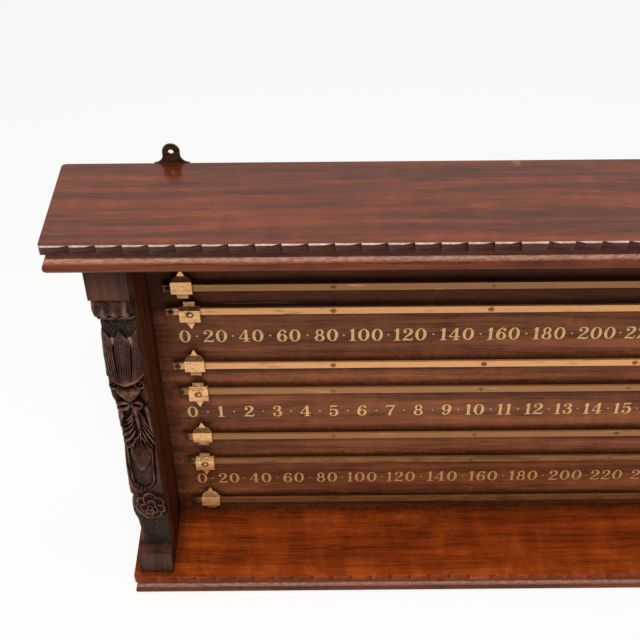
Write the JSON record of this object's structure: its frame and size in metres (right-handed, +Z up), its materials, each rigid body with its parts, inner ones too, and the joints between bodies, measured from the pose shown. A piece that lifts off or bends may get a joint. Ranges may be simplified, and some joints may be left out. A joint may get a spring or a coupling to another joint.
{
  "type": "snooker scoreboard",
  "caption": "Wall-hung snooker scoreboard: open hardwood case with cornice, shelf and carved pilasters, and brass pointers that slide on rails along rows of numerals.",
  "frame": {"origin": "centre of the bounding box at the bottom face, where the case stands on its shelf mouldings", "axes": "+X to the viewer's right along the case, +Y from the open front to the wall, +Z up"},
  "size_m": [0.96, 0.145, 0.6258],
  "materials": {
    "mahogany": "french polished, worn and darkened",
    "panel_mahogany": "french polished, gloss",
    "carved_mahogany": "carved, dark polish",
    "rail_brass": "satin, lightly tarnished",
    "pointer_brass": "cast, worn bright",
    "aged_brass": "dark tarnish",
    "steel": "dull",
    "beech": "bare"
  },
  "bodies": {
    "case": {"back_panel": "panel_mahogany", "side_board_left": "mahogany", "side_board_right": "mahogany", "pilaster_left": "carved_mahogany", "pilaster_right": "carved_mahogany", "capital_left": "carved_mahogany", "capital_right": "carved_mahogany", "base_block_left": "carved_mahogany", "base_block_right": "carved_mahogany", "top_board": "mahogany", "cornice_core": "mahogany", "cornice_moulding_front": "mahogany", "cornice_moulding_left": "mahogany", "cornice_moulding_right": "mahogany", "shelf_board": "mahogany", "base_core": "mahogany", "base_moulding_front": "mahogany", "base_moulding_left": "mahogany", "base_moulding_right": "mahogany", "top_plug": "carved_mahogany", "top_screw": "steel", "cornice_dowels": "beech", "base_screws": "steel", "panel_screws": "steel", "rail_1": "rail_brass", "rail_2": "rail_brass", "rail_3": "rail_brass", "rail_4": "rail_brass", "rail_5": "rail_brass", "rail_6": "rail_brass", "rail_7": "rail_brass", "rail_8": "rail_brass", "rail_ferrules": "aged_brass", "rail_screws": "aged_brass", "stop_screws": "aged_brass", "hanging_plate_left": "aged_brass", "hanging_plate_right": "aged_brass", "hanging_plate_screws": "steel"},
    "pointer_1": {"pointer_1": "pointer_brass", "pointer_1_spring": "aged_brass", "pointer_1_button": "pointer_brass"},
    "pointer_2": {"pointer_2": "pointer_brass", "pointer_2_spring": "aged_brass"},
    "pointer_3": {"pointer_3": "pointer_brass", "pointer_3_spring": "aged_brass", "pointer_3_button": "pointer_brass"},
    "pointer_4": {"pointer_4": "pointer_brass", "pointer_4_spring": "aged_brass"},
    "pointer_5": {"pointer_5": "pointer_brass", "pointer_5_spring": "aged_brass", "pointer_5_button": "pointer_brass"},
    "pointer_6": {"pointer_6": "pointer_brass", "pointer_6_spring": "aged_brass"},
    "pointer_7": {"pointer_7": "pointer_brass", "pointer_7_spring": "aged_brass", "pointer_7_button": "pointer_brass"},
    "pointer_8": {"pointer_8": "pointer_brass", "pointer_8_spring": "aged_brass"}
  },
  "joints": [
    {"name": "pointer_1_slide", "type": "slide", "parent": "case", "child": "pointer_1", "axis": [1, 0, 0], "range_m": [-0.0052, 0.7258]},
    {"name": "pointer_2_slide", "type": "slide", "parent": "case", "child": "pointer_2", "axis": [1, 0, 0], "range_m": [0, 0.731]},
    {"name": "pointer_3_slide", "type": "slide", "parent": "case", "child": "pointer_3", "axis": [1, 0, 0], "range_m": [-0.0061, 0.7249]},
    {"name": "pointer_4_slide", "type": "slide", "parent": "case", "child": "pointer_4", "axis": [1, 0, 0], "range_m": [-0.005, 0.726]},
    {"name": "pointer_5_slide", "type": "slide", "parent": "case", "child": "pointer_5", "axis": [1, 0, 0], "range_m": [-0.0057, 0.7253]},
    {"name": "pointer_6_slide", "type": "slide", "parent": "case", "child": "pointer_6", "axis": [1, 0, 0], "range_m": [-0.0045, 0.7265]},
    {"name": "pointer_7_slide", "type": "slide", "parent": "case", "child": "pointer_7", "axis": [1, 0, 0], "range_m": [-0.0038, 0.7272]},
    {"name": "pointer_8_slide", "type": "slide", "parent": "case", "child": "pointer_8", "axis": [1, 0, 0], "range_m": [-0.0058, 0.7252]}
  ]
}
